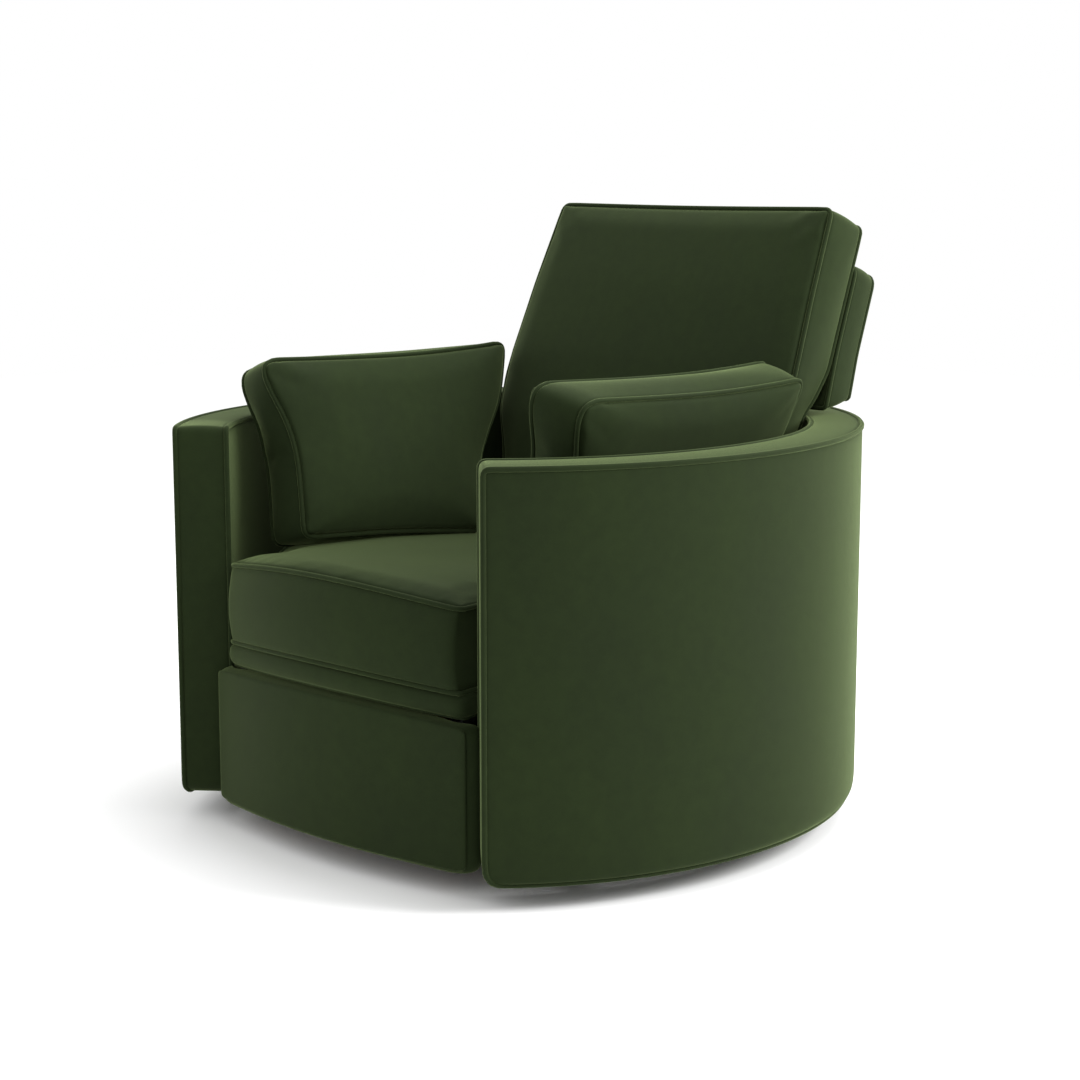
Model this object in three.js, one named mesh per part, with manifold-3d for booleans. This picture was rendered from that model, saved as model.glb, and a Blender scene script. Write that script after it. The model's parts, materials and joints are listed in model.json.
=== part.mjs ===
// Swivel glider recliner for a nursery: an elliptical barrel shell hung on a swinging-link glider
// base, with a sliding seat carriage, a reclining back, a footrest linkage and two loose arm pillows.
// Millimetres, +Z up. The origin is on the floor under the middle of the chair, which faces -Y.
import * as THREE from 'three';
import { mergeVertices } from 'three/addons/utils/BufferGeometryUtils.js';
import Module from 'manifold-3d';

const wasm = await Module();
wasm.setup();

// ---------------------------------------------------------------- driving dimensions
const GAP = 0.3; // gap kept between pieces that touch
const SIDES = [['left', -1], ['right', 1]];

// barrel shell: an ellipse in plan, cut flat across each arm's front
const SHELL_A = 525; // half width
const SHELL_B = 575; // half depth of the full ellipse
const SHELL_CY = -65; // centre of the ellipse
const SHELL_BOTTOM = 38;
const SHELL_TOP = 640;
const WALL_SKIN = 20; // outer board
const WALL_PAD = 58; // where the inner pad starts, measured inwards from the outside
const WALL_THICK = 84;
const RIM_BASE = 600;
const ARM_FRONT_DEG = 49; // where the arm front meets the outside of the shell
const ARM_SKEW_DEG = 1.3; // how much further round the inner corner is
const ARM_PANEL_DEG = 1.8; // thickness of the arm front panel along the shell
const REAR_SPLIT_DEG = 35; // where the side walls meet the rear wall

// floor ring and turntable
const RING_RADIUS = 285;
const RING_TUBE = 11;
const PAD_HEIGHT = 6;
const CROSS_WIDTH = 50;
const CROSS_Z = 28.6;
const RACE_RADIUS = 85;
const TURNTABLE_Z = 48.5;

// glider: four equal hanging links
const LINK_PITCH = 125; // upper pivot to lower pivot
const UPPER_PIVOT_Z = 200;
const PIVOT_Y = 150;
const POST_X = 187; // inner face of the hanger posts
const HANGER_X = 193;
const RAIL_X = 199;
const RAIL_WIDTH = 30;
const PIN_R = 6;
const HOLE_R = 6.5;
const LINK_HALF = 9;

// seat, back and footrest
const SEAT_FRONT_Y = -508;
const SEAT_CORNER = { x: 268, y: -456 };
const SEAT_TRAVEL = 80; // how far the seat slides forward as the back reclines
const SEAT_LOW_Z = 276;
const SEAT_WELT_Z = 311;
const SEAT_TOP_Z = 447; // at the front edge
const SEAT_RAKE = 0.07; // fall of the seat's top towards the back
const BACK_TILT_DEG = 21;
const BACK_ORIGIN = { y: 161, z: 460 }; // a point on the back cushion's front face
const BACK_HINGE = { y: 335, z: 335 };
const CUSHION_THICK = 82;
const PANEL_FRONT_N = 95;
const PANEL_REAR_N = 141;
const RIM_CUT = 179; // the panel's underside is level with the rim when fully reclined
const DRIVE_PIVOT = { y: -285, z: 238 };
const DRIVE_LENGTH = 167;
const DRIVE_ANGLE_DEG = -105; // from straight ahead, upwards positive
const FOOT_PIVOT = { y: -438, z: 202 };
const FOOT_FRONT_Y = -510;
const FOOT_END = { x: 285, y: -478 };
const FOOT_BOTTOM = 38;
const FOOT_TOP = 272.7;

// loose pillows
const PILLOW_LEAN_DEG = 16;
const PILLOW_FOOT = { x: 212, z: 465 };
const PILLOW_THICK = 82;
const PILLOW_SHIFT = { left: 0, right: 24 }; // the right pillow sits further back

const rad = THREE.MathUtils.degToRad;
const chair = new THREE.Group();

// ---------------------------------------------------------------- materials
function finish(color, roughness, metalness) {
  return () => new THREE.MeshStandardMaterial({ color, roughness, metalness });
}
const velvet = finish(0x2b3a1e, 0.9, 0);
const liner = finish(0x1d2417, 0.95, 0);
const steel = finish(0x1c1d1f, 0.45, 0.8);
const zinc = finish(0x9a9c9e, 0.35, 0.9);
const timber = finish(0xb08a58, 0.7, 0);
const rubber = finish(0x111111, 0.85, 0);

function add(name, geometry, material, parent = chair) {
  const mesh = new THREE.Mesh(geometry, material());
  mesh.name = name;
  parent.add(mesh);
  return mesh;
}

// ---------------------------------------------------------------- solids
function toManifold(geometry) {
  const bare = geometry.clone();
  bare.deleteAttribute('normal');
  bare.deleteAttribute('uv');
  const merged = mergeVertices(bare, 1e-4);
  return new wasm.Manifold(new wasm.Mesh({
    numProp: 3,
    vertProperties: new Float32Array(merged.attributes.position.array),
    triVerts: new Uint32Array(merged.index.array),
  }));
}

function toGeometry(solid) {
  const mesh = solid.getMesh();
  const geometry = new THREE.BufferGeometry();
  geometry.setAttribute('position', new THREE.BufferAttribute(new Float32Array(mesh.vertProperties), 3));
  geometry.setIndex(new THREE.BufferAttribute(new Uint32Array(mesh.triVerts), 1));
  geometry.computeVertexNormals();
  return geometry;
}

function join(...geometries) {
  return toGeometry(geometries.map(toManifold).reduce((sum, next) => sum.add(next)));
}

function common(...geometries) {
  return toGeometry(geometries.map(toManifold).reduce((shared, next) => shared.intersect(next)));
}

function box(x0, x1, y0, y1, z0, z1) {
  const geometry = new THREE.BoxGeometry(x1 - x0, y1 - y0, z1 - z0);
  return geometry.translate((x0 + x1) / 2, (y0 + y1) / 2, (z0 + z1) / 2);
}

function makeShape(points, holes = []) {
  const outline = points.map(([a, b]) => new THREE.Vector2(a, b));
  if (THREE.ShapeUtils.isClockWise(outline)) outline.reverse();
  const shape = new THREE.Shape(outline);
  for (const hole of holes) {
    const path = new THREE.Path();
    path.absarc(hole.y, hole.z, hole.r, 0, 2 * Math.PI, true);
    shape.holes.push(path);
  }
  return shape;
}

const AXIS_X = new THREE.Vector3(1, 0, 0);
const AXIS_Y = new THREE.Vector3(0, 1, 0);
const AXIS_Z = new THREE.Vector3(0, 0, 1);

// an outline in the Y-Z plane, given thickness from x0 to x1
function plateX(points, x0, x1, holes = []) {
  const options = { depth: x1 - x0, bevelEnabled: false, curveSegments: 8 };
  const geometry = new THREE.ExtrudeGeometry(makeShape(points, holes), options);
  geometry.applyMatrix4(new THREE.Matrix4().makeBasis(AXIS_Y, AXIS_Z, AXIS_X));
  return geometry.translate(x0, 0, 0);
}

// an outline in the X-Z plane, given thickness from y0 to y1
function plateY(points, y0, y1) {
  const options = { depth: y1 - y0, bevelEnabled: false };
  const geometry = new THREE.ExtrudeGeometry(makeShape(points), options);
  const back = AXIS_Y.clone().negate();
  geometry.applyMatrix4(new THREE.Matrix4().makeBasis(AXIS_X, AXIS_Z, back));
  return geometry.translate(0, y1, 0);
}

// an outline in the X-Y plane, given thickness from z0 to z1, with softened top and bottom edges
function plateZ(points, z0, z1, bevel = 0) {
  const options = {
    depth: z1 - z0 - 2 * bevel,
    bevelEnabled: bevel > 0,
    bevelThickness: bevel,
    bevelSize: bevel,
    bevelOffset: -bevel,
    bevelSegments: 3,
  };
  return new THREE.ExtrudeGeometry(makeShape(points), options).translate(0, 0, z0 + bevel);
}

// a round bar along X
function barX(x0, x1, y, z, radius) {
  const geometry = new THREE.CylinderGeometry(radius, radius, x1 - x0, 16);
  return geometry.rotateZ(Math.PI / 2).translate((x0 + x1) / 2, y, z);
}

// a polygon with each corner rounded by a short curve
function softCorners(corners, radius, steps = 4) {
  const points = [];
  corners.forEach((corner, i) => {
    const here = new THREE.Vector2(...corner);
    const before = new THREE.Vector2(...corners[(i + corners.length - 1) % corners.length]);
    const after = new THREE.Vector2(...corners[(i + 1) % corners.length]);
    const start = here.clone().add(before.sub(here).setLength(radius));
    const end = here.clone().add(after.sub(here).setLength(radius));
    const bend = new THREE.QuadraticBezierCurve(start, here, end);
    bend.getPoints(steps).forEach((p) => points.push([p.x, p.y]));
  });
  return points;
}

// the round-ended outline of a link between two pivots in the Y-Z plane
function linkOutline(a, b, half) {
  const direction = Math.atan2(b.z - a.z, b.y - a.y);
  const points = [];
  for (const [end, turn] of [[b, -Math.PI / 2], [a, Math.PI / 2]]) {
    for (let i = 0; i <= 6; i += 1) {
      const angle = direction + turn + (Math.PI * i) / 6;
      points.push([end.y + half * Math.cos(angle), end.z + half * Math.sin(angle)]);
    }
  }
  return points;
}

// ---------------------------------------------------------------- barrel shell
function shellPoint(inset, angle, z) {
  return [
    (SHELL_A - inset) * Math.cos(angle),
    SHELL_CY + (SHELL_B - inset) * Math.sin(angle),
    z,
  ];
}

// the right arm's front face, as an angle round the ellipse at a depth into the wall
function frontAngle(inset, extraDeg = 0) {
  return rad(-ARM_FRONT_DEG - (ARM_SKEW_DEG * inset) / WALL_THICK + extraDeg);
}

// sweeps a closed (inset, z) section round the ellipse from angle start(inset) to end(inset)
function barrelSweep(section, start, end, steps) {
  const positions = [];
  const index = [];
  const count = section.length;
  for (let i = 0; i <= steps; i += 1) {
    for (const [inset, z] of section) {
      const angle = start(inset) + ((end(inset) - start(inset)) * i) / steps;
      positions.push(...shellPoint(inset, angle, z));
    }
  }
  for (let i = 0; i < steps; i += 1) {
    for (let j = 0; j < count; j += 1) {
      const a = i * count + j;
      const b = i * count + ((j + 1) % count);
      index.push(a, b, b + count, a, b + count, a + count);
    }
  }
  const outline = section.map(([inset, z]) => new THREE.Vector2(inset, z));
  const last = steps * count;
  for (const [p, q, r] of THREE.ShapeUtils.triangulateShape(outline, [])) {
    index.push(r, q, p, last + p, last + q, last + r);
  }
  const geometry = new THREE.BufferGeometry();
  geometry.setAttribute('position', new THREE.Float32BufferAttribute(positions, 3));
  geometry.setIndex(index);
  geometry.computeVertexNormals();
  return geometry;
}

function rectangle(inset0, inset1, z0, z1) {
  return [[inset0, z0], [inset1, z0], [inset1, z1], [inset0, z1]];
}

function rimSection() {
  const crown = [];
  for (let i = 0; i <= 8; i += 1) {
    const across = i / 8;
    crown.push([WALL_THICK * (1 - across), SHELL_TOP - 14 * (2 * across - 1) ** 2]);
  }
  return [[0, RIM_BASE + GAP], [WALL_THICK, RIM_BASE + GAP], ...crown];
}

function addBarrelShell() {
  const layers = [
    ['barrel_wall', rectangle(0, WALL_SKIN, SHELL_BOTTOM, RIM_BASE), liner],
    ['inner_pad', rectangle(WALL_PAD, WALL_THICK, SHELL_BOTTOM + 20, RIM_BASE), velvet],
    ['rim', rimSection(), velvet],
  ];
  const seam = 0.04;
  const frontSeam = 0.14;
  const armStart = (inset) => frontAngle(inset, ARM_PANEL_DEG + frontSeam);
  const armEnd = () => rad(REAR_SPLIT_DEG - seam);
  const mirrored = (angle) => (inset) => Math.PI - angle(inset);
  for (const [name, section, material] of layers) {
    add(`${name}_right`, barrelSweep(section, armStart, armEnd, 14), material);
    add(`${name}_left`, barrelSweep(section, mirrored(armEnd), mirrored(armStart), 14), material);
    const rearStart = () => rad(REAR_SPLIT_DEG);
    add(`${name}_rear`, barrelSweep(section, rearStart, mirrored(rearStart), 18), material);
  }
  const facing = rectangle(0, WALL_THICK, SHELL_BOTTOM, SHELL_TOP - 8);
  const panelStart = (inset) => frontAngle(inset);
  const panelEnd = (inset) => frontAngle(inset, ARM_PANEL_DEG);
  add('arm_front_right', barrelSweep(facing, panelStart, panelEnd, 1), velvet);
  add('arm_front_left', barrelSweep(facing, mirrored(panelEnd), mirrored(panelStart), 1), velvet);
}

// ---------------------------------------------------------------- floor base and turntable
function addFloorBase() {
  for (let i = 0; i < 4; i += 1) {
    const angle = Math.PI / 4 + (i * Math.PI) / 2;
    const pad = new THREE.CylinderGeometry(22, 20, PAD_HEIGHT, 20).rotateX(Math.PI / 2);
    pad.translate(RING_RADIUS * Math.cos(angle), RING_RADIUS * Math.sin(angle), PAD_HEIGHT / 2);
    add(`floor_pad_${i + 1}`, pad, rubber);
  }
  const section = [];
  for (let i = 0; i <= 10; i += 1) {
    const angle = (i * Math.PI) / 5;
    section.push(new THREE.Vector2(RING_RADIUS + RING_TUBE * Math.cos(angle), RING_TUBE * Math.sin(angle)));
  }
  const ring = new THREE.LatheGeometry(section, 40).rotateX(Math.PI / 2);
  add('floor_ring', ring.translate(0, 0, PAD_HEIGHT + GAP + RING_TUBE), steel);

  const reach = RING_RADIUS + 4;
  const half = CROSS_WIDTH / 2;
  const cross = join(
    box(-reach, reach, -half, half, CROSS_Z, CROSS_Z + 6),
    box(-half, half, -reach, reach, CROSS_Z, CROSS_Z + 6),
  );
  add('base_cross', cross, steel);
  const race = [
    [RACE_RADIUS - 25, CROSS_Z + 6 + GAP], [RACE_RADIUS, CROSS_Z + 6 + GAP],
    [RACE_RADIUS, TURNTABLE_Z - GAP], [RACE_RADIUS - 25, TURNTABLE_Z - GAP],
    [RACE_RADIUS - 25, CROSS_Z + 6 + GAP],
  ].map(([r, z]) => new THREE.Vector2(r, z));
  add('swivel_race', new THREE.LatheGeometry(race, 32).rotateX(Math.PI / 2), zinc);
}

function addCarrier() {
  const railTop = TURNTABLE_Z + 36;
  add('turntable_plate', box(-170, 170, -110, 110, TURNTABLE_Z, TURNTABLE_Z + 6), steel);
  for (const [side, sign] of SIDES) {
    const x0 = sign > 0 ? 150 : -(POST_X - GAP);
    const x1 = sign > 0 ? POST_X - GAP : -150;
    add(`carrier_rail_${side}`, box(x0, x1, -190, 190, TURNTABLE_Z + 6 + GAP, railTop), steel);
    for (const [end, y] of [['front', -PIVOT_Y], ['rear', PIVOT_Y]]) {
      const foot = TURNTABLE_Z + 8;
      const outline = [
        [y - 34, foot], [y + 34, foot], [y + 34, railTop], [y + 14, UPPER_PIVOT_Z],
        [y + 8, UPPER_PIVOT_Z + 16], [y - 8, UPPER_PIVOT_Z + 16], [y - 14, UPPER_PIVOT_Z],
        [y - 34, railTop],
      ];
      const hole = { y, z: UPPER_PIVOT_Z, r: HOLE_R };
      const x = sign > 0 ? POST_X : -POST_X - 5;
      add(`hanger_post_${end}_${side}`, plateX(outline, x, x + 5, [hole]), steel);
    }
  }
}

// one hanging link with its own two pivot pins, drawn for the right side
function hangerLink(y) {
  const upper = { y, z: UPPER_PIVOT_Z };
  const lower = { y, z: UPPER_PIVOT_Z - LINK_PITCH };
  return join(
    plateX(linkOutline(upper, lower, LINK_HALF), HANGER_X, HANGER_X + 5),
    barX(POST_X - 4, HANGER_X + 2, upper.y, upper.z, PIN_R),
    barX(POST_X - 6, POST_X - 0.5, upper.y, upper.z, PIN_R + 3),
    barX(HANGER_X + 2, RAIL_X + RAIL_WIDTH + 2, lower.y, lower.z, PIN_R),
    barX(RAIL_X + RAIL_WIDTH + 0.5, RAIL_X + RAIL_WIDTH + 4, lower.y, lower.z, PIN_R + 3),
  );
}

// turns a right-hand piece into its left-hand partner
function mirrorX(geometry) {
  const mirror = geometry.clone().applyMatrix4(new THREE.Matrix4().makeScale(-1, 1, 1));
  const plain = mirror.index ? mirror.toNonIndexed() : mirror;
  const p = plain.attributes.position;
  for (let i = 0; i < p.count; i += 3) {
    const [x, y, z] = [p.getX(i + 1), p.getY(i + 1), p.getZ(i + 1)];
    p.setXYZ(i + 1, p.getX(i + 2), p.getY(i + 2), p.getZ(i + 2));
    p.setXYZ(i + 2, x, y, z);
  }
  plain.computeVertexNormals();
  return plain;
}

// adds a right-hand piece and its mirrored partner
function addPair(name, geometry, material) {
  add(`${name}_right`, geometry, material);
  add(`${name}_left`, mirrorX(geometry), material);
}

// ---------------------------------------------------------------- glide frame
function addGlideFrame() {
  const lowZ = UPPER_PIVOT_Z - LINK_PITCH;
  addPair('hanger_link_front', hangerLink(-PIVOT_Y), zinc);
  addPair('hanger_link_rear', hangerLink(PIVOT_Y), zinc);
  const railOutline = [[-336, lowZ - 18], [336, lowZ - 18], [336, lowZ + 18], [-336, lowZ + 18]];
  const holes = [-PIVOT_Y, PIVOT_Y].map((y) => ({ y, z: lowZ, r: HOLE_R }));
  addPair('glide_rail', plateX(railOutline, RAIL_X, RAIL_X + RAIL_WIDTH, holes), steel);
  add('front_sill', box(-434, 434, -335, -300, 50.3, 56.5), steel);
  add('rear_sill', box(-345, 345, 300, 335, 50.3, 56.5), steel);
  const plate = [[-400, 56.8], [240, 56.8], [240, 180], [190, 263], [-330, 263], [-400, 200]];
  addPair('side_plate', plateX(plate, 258, 268), timber);
  addPair('slide_channel', box(243, 257.7, -330, 190, 246, 264), zinc);
}

// ---------------------------------------------------------------- seat carriage
// the seat fills the barrel, less the room that it needs to slide forward by SEAT_TRAVEL
function seatHalfWidth(y) {
  const width = (shift) => {
    const across = (y - SHELL_CY - shift) / (SHELL_B - WALL_THICK);
    return (SHELL_A - WALL_THICK) * Math.sqrt(1 - across ** 2);
  };
  return Math.min(width(0), width(SEAT_TRAVEL)) - 7;
}

function seatPlan() {
  const corner = SEAT_CORNER;
  const front = [];
  for (let i = 0; i <= 12; i += 1) {
    const x = -corner.x + (2 * corner.x * i) / 12;
    front.push([x, SEAT_FRONT_Y + (corner.y - SEAT_FRONT_Y) * (x / corner.x) ** 2]);
  }
  const right = [];
  for (let y = corner.y + 84; y < 180; y += 60) right.push([seatHalfWidth(y), y]);
  const left = right.map(([x, y]) => [-x, y]).reverse();
  return [...front, ...right, ...left];
}

// the region in front of the reclined back cushion
function aheadOfBack(z0, z1) {
  const slope = Math.tan(rad(BACK_TILT_DEG));
  const rear = (z) => BACK_ORIGIN.y - 18 + (z - BACK_ORIGIN.z) * slope;
  return plateX([[-600, z0], [rear(z0), z0], [rear(z1), z1], [-600, z1]], -500, 500);
}

function addSeat() {
  const runner = box(232, 242.7, -250, 200, 248, 262);
  const sideOutline = [
    [-446, 246], [-320, 246], [-304, 222], [-266, 222], [-250, 246], [236, 246],
    [346, 322], [346, 347], [322, 347], [232, 275], [-446, 275],
  ];
  const holes = [
    { y: DRIVE_PIVOT.y, z: DRIVE_PIVOT.z, r: 9.5 },
    { y: BACK_HINGE.y, z: BACK_HINGE.z, r: HOLE_R },
  ];
  addPair('seat_side_plate', join(plateX(sideOutline, 226, 233, holes), runner), steel);
  add('seat_front_rail', box(-225.5, 225.5, -446, -420, 262.7, 275.2), timber);
  add('seat_rear_rail', box(-225.5, 225.5, 110, 136, 262.7, 275.2), timber);
  add('seat_springs', seatSprings(), zinc);

  const deck = common(
    plateZ(seatPlan(), SEAT_LOW_Z, SEAT_LOW_Z + 80, 30),
    box(-500, 500, -600, 400, SEAT_LOW_Z - 1, SEAT_WELT_Z),
  );
  add('seat_deck_pad', common(deck, aheadOfBack(SEAT_LOW_Z - 1, SEAT_WELT_Z)), velvet);
  const cushion = plateZ(seatPlan(), SEAT_WELT_Z + GAP, SEAT_TOP_Z, 8);
  const fall = (y) => SEAT_TOP_Z - SEAT_RAKE * (y - SEAT_FRONT_Y);
  const raked = plateX(
    [[-600, SEAT_WELT_Z], [200, SEAT_WELT_Z], [200, fall(200)], [-600, fall(-600)]], -500, 500,
  );
  add('seat_cushion', common(cushion, raked, aheadOfBack(SEAT_WELT_Z, SEAT_TOP_Z + 1)), velvet);
}

// four sinuous springs from rail to rail, tied by two straight cross wires
function seatSprings() {
  const wires = [];
  const z = 269;
  const front = -416;
  const rear = 106;
  for (const x of [-150, -50, 50, 150]) {
    const path = [];
    for (let i = 0; i <= 22; i += 1) {
      const sway = i === 0 || i === 22 ? 0 : 20 * (i % 2 ? 1 : -1);
      path.push([x + sway, front + ((rear - front) * i) / 22]);
    }
    wires.push(ribbon(path, 2, z - 2, z + 2));
  }
  for (const y of [-300, -20]) wires.push(box(-180, 180, y - 2, y + 2, z - 1.8, z + 1.8));
  return join(...wires);
}

// a zigzag wire as a narrow flat band of constant half width
function ribbon(path, half, z0, z1) {
  const left = [];
  const right = [];
  path.forEach(([x, y], i) => {
    const [px, py] = path[Math.max(i - 1, 0)];
    const [qx, qy] = path[Math.min(i + 1, path.length - 1)];
    const length = Math.hypot(qx - px, qy - py);
    const side = [(-(qy - py) / length) * half * 2, ((qx - px) / length) * half * 2];
    left.push([x + side[0], y + side[1]]);
    right.push([x - side[0], y - side[1]]);
  });
  return plateZ([...right, ...left.reverse()], z0, z1);
}

// ---------------------------------------------------------------- reclining back
function addBack() {
  const back = new THREE.Group();
  back.position.set(0, BACK_ORIGIN.y, BACK_ORIGIN.z);
  back.rotation.x = -rad(BACK_TILT_DEG);
  chair.add(back);

  const behindRim = softCorners([
    [-255, -150], [255, -150], [262, 226], [294, 262], [294, 551], [-294, 551], [-294, 262], [-262, 226],
  ], 14);
  const aheadOfRim = softCorners([
    [-255, -150], [255, -150], [308, 180], [308, 270], [294, 551], [-294, 551], [-308, 270], [-308, 180],
  ], 14);
  const cushion = join(plateY(behindRim, 0, CUSHION_THICK), plateY(aheadOfRim, 0, CUSHION_THICK / 2));
  add('back_cushion', cushion, velvet, back);
  const board = [
    [-240, -150], [240, -150], [240, 240], [262, 264], [262, 466], [-262, 466], [-262, 264], [-240, 240],
  ];
  add('back_board', plateY(board, CUSHION_THICK + GAP, PANEL_FRONT_N - GAP), timber, back);

  const wingOutline = softCorners([[-307, 200], [307, 200], [307, 486], [-307, 486]], 40, 6);
  const hollow = [
    [-320, 150], [-263, 150], [-263, 467], [263, 467], [263, 150], [320, 150], [320, 500], [-320, 500],
  ];
  const lip = common(plateY(wingOutline, CUSHION_THICK + GAP, PANEL_FRONT_N + 1), plateY(hollow, 80, 100));
  const wings = join(plateY(wingOutline, PANEL_FRONT_N, PANEL_REAR_N), lip);
  const clearOfRim = plateX([[0, RIM_CUT], [200, RIM_CUT + 120], [200, 500], [0, 500]], -320, 320);
  const lower = plateY([[-200, -130], [200, -130], [200, 300], [-200, 300]], PANEL_FRONT_N, 118);
  add('back_panel', join(common(wings, clearOfRim), lower), velvet, back);

  const bracket = [[206, 305], [342, 322], [346, 335], [342, 348], [328, 350], [251.5, 424]];
  const bracketWithPin = join(
    plateX(bracket, 218, 225),
    barX(224, 237, BACK_HINGE.y, BACK_HINGE.z, PIN_R),
  );
  addPair('back_bracket', bracketWithPin, steel);
}

// ---------------------------------------------------------------- footrest linkage
function addFootrest() {
  const knee = {
    y: DRIVE_PIVOT.y - DRIVE_LENGTH * Math.cos(rad(DRIVE_ANGLE_DEG)),
    z: DRIVE_PIVOT.z + DRIVE_LENGTH * Math.sin(rad(DRIVE_ANGLE_DEG)),
  };
  const drive = join(
    plateX(linkOutline(DRIVE_PIVOT, knee, LINK_HALF), 234, 239.5),
    barX(237, 249, knee.y, knee.z, 5),
  );
  addPair('drive_link', drive, steel);
  add('torque_tube', barX(-233.7, 233.7, DRIVE_PIVOT.y, DRIVE_PIVOT.z, 9), steel);

  const kneeHole = { y: knee.y, z: knee.z, r: 5.5 };
  const front = join(
    plateX(linkOutline(FOOT_PIVOT, knee, LINK_HALF), 240.3, 245.8, [kneeHole]),
    barX(243, 254, FOOT_PIVOT.y, FOOT_PIVOT.z, 5),
  );
  addPair('front_link', front, steel);
  const bracket = [[-448.9, 150], [-448.9, 258], [-436, 258], [-426, 212], [-426, 190], [-436, 150]];
  const footHole = { y: FOOT_PIVOT.y, z: FOOT_PIVOT.z, r: 5.5 };
  addPair('footrest_bracket', plateX(bracket, 246.6, 252.1, [footHole]), steel);
  add('footrest_board', box(-258, 258, -461.2, -449.2, 45, 246), timber);

  const outline = [];
  for (let i = 0; i <= 12; i += 1) {
    const x = -FOOT_END.x + (2 * FOOT_END.x * i) / 12;
    outline.push([x, FOOT_FRONT_Y + (FOOT_END.y - FOOT_FRONT_Y) * (x / FOOT_END.x) ** 2]);
  }
  outline.push([FOOT_END.x, -468], [262, -461.5], [-262, -461.5], [-FOOT_END.x, -468]);
  add('footrest_pad', plateZ(outline, FOOT_BOTTOM, FOOT_TOP), velvet);
}

// ---------------------------------------------------------------- loose pillows
function addPillows() {
  for (const [side, sign] of SIDES) {
    const holder = new THREE.Group();
    holder.position.set(sign * PILLOW_FOOT.x, 0, PILLOW_FOOT.z);
    holder.rotation.y = sign * rad(PILLOW_LEAN_DEG);
    chair.add(holder);
    const shift = PILLOW_SHIFT[side];
    const outline = softCorners([
      [-348 + shift, 3], [40, -26], [104 + shift / 3, 120], [180 + shift, 279], [-369 + shift, 285],
      [-334 + shift, 130],
    ], 20);
    const x0 = sign > 0 ? 0 : -PILLOW_THICK;
    add(`pillow_${side}`, plateX(outline, x0, x0 + PILLOW_THICK), velvet, holder);
  }
}

addBarrelShell();
addFloorBase();
addCarrier();
addGlideFrame();
addSeat();
addBack();
addFootrest();
addPillows();

export default chair;
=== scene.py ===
"""Swivel glider recliner in green velvet: the looks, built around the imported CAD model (metres)."""
import json
import math

import bmesh
import bpy
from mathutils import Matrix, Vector
from mathutils.bvhtree import BVHTree


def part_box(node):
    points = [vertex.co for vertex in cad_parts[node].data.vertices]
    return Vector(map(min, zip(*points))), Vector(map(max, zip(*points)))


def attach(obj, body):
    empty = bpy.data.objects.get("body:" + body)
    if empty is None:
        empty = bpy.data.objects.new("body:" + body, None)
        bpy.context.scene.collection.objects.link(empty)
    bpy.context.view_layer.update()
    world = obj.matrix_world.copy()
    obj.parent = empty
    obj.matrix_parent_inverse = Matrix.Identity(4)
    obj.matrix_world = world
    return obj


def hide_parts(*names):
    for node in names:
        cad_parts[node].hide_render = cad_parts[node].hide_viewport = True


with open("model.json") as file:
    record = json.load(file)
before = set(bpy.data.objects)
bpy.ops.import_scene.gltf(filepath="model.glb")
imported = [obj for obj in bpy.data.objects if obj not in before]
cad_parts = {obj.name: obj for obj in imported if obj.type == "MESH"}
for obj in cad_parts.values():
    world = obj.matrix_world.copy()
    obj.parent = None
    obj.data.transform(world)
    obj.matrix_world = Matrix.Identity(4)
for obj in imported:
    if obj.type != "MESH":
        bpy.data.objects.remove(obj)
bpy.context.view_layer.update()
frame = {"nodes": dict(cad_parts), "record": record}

# ---------------------------------------------------------------- driving dimensions
SHELL_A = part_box("barrel_wall_right")[1][0]      # half width of the barrel's ellipse
SHELL_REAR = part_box("barrel_wall_rear")[1][1]
SHELL_CY = -0.065                                # centre of the ellipse
SHELL_B = SHELL_REAR - SHELL_CY
SHELL_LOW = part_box("barrel_wall_rear")[0][2]
RIM_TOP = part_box("rim_rear")[1][2]
RIM_CROWN = 0.003                                # how far the rim's middle stands above its welts
WALL = 0.084                                     # thickness of the padded wall
ARM_CROWN = 0.0015                               # the same for the flat arm fronts
INNER_SWELL = 0.007                              # of the padded inner wall
FOOT_ROUND, FOOT_TUCK = 0.022, 0.013             # height and depth of the shell's rounded foot
ARM_FRONT = math.radians(49)                     # where the arm front meets the outside
ARM_SKEW = math.radians(1.3)                     # how much further round its inner corner is

SEAT_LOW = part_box("seat_deck_pad")[0][2]
SEAT_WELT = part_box("seat_deck_pad")[1][2]
SEAT_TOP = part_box("seat_cushion")[1][2]
SEAT_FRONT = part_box("seat_cushion")[0][1]
SEAT_CORNER = Vector((0.269, -0.460))
SEAT_RAKE = 0.07                                 # fall of the seat's top towards the back
SEAT_TRAVEL = 0.08                               # forward slide of the seat as it reclines
SEAT_TAPER = 0.084                               # length over which it narrows to its front corners
SEAT_GAP = 0.0125                                # to the padded wall, at rest and slid forward
SEAT_REAR = 0.12                                 # about where its top meets the back cushion
SEAT_LEAN_START = -0.15                          # ahead of this the seat's sides are upright
BACK_GAP = 0.018                                 # between the seat and the back cushion
TOP_DROOP = 0.020                                # fall of the seat's seams at its front corners
LOW_DROOP = 0.0145
BAND_DROOP = 0.014
DROOP_RUN = 0.30                                 # from the corner back to where it has died out
CORNER_PULL = 0.026                              # how far the top's corners are drawn inwards
SEAT_BULGE, BAND_BULGE = 0.009, 0.005            # of their fronts
BAND_TUCK = 0.003                                # how far its lower edge is tucked under
CLEARANCE = 0.0006                               # between covers that touch

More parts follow.
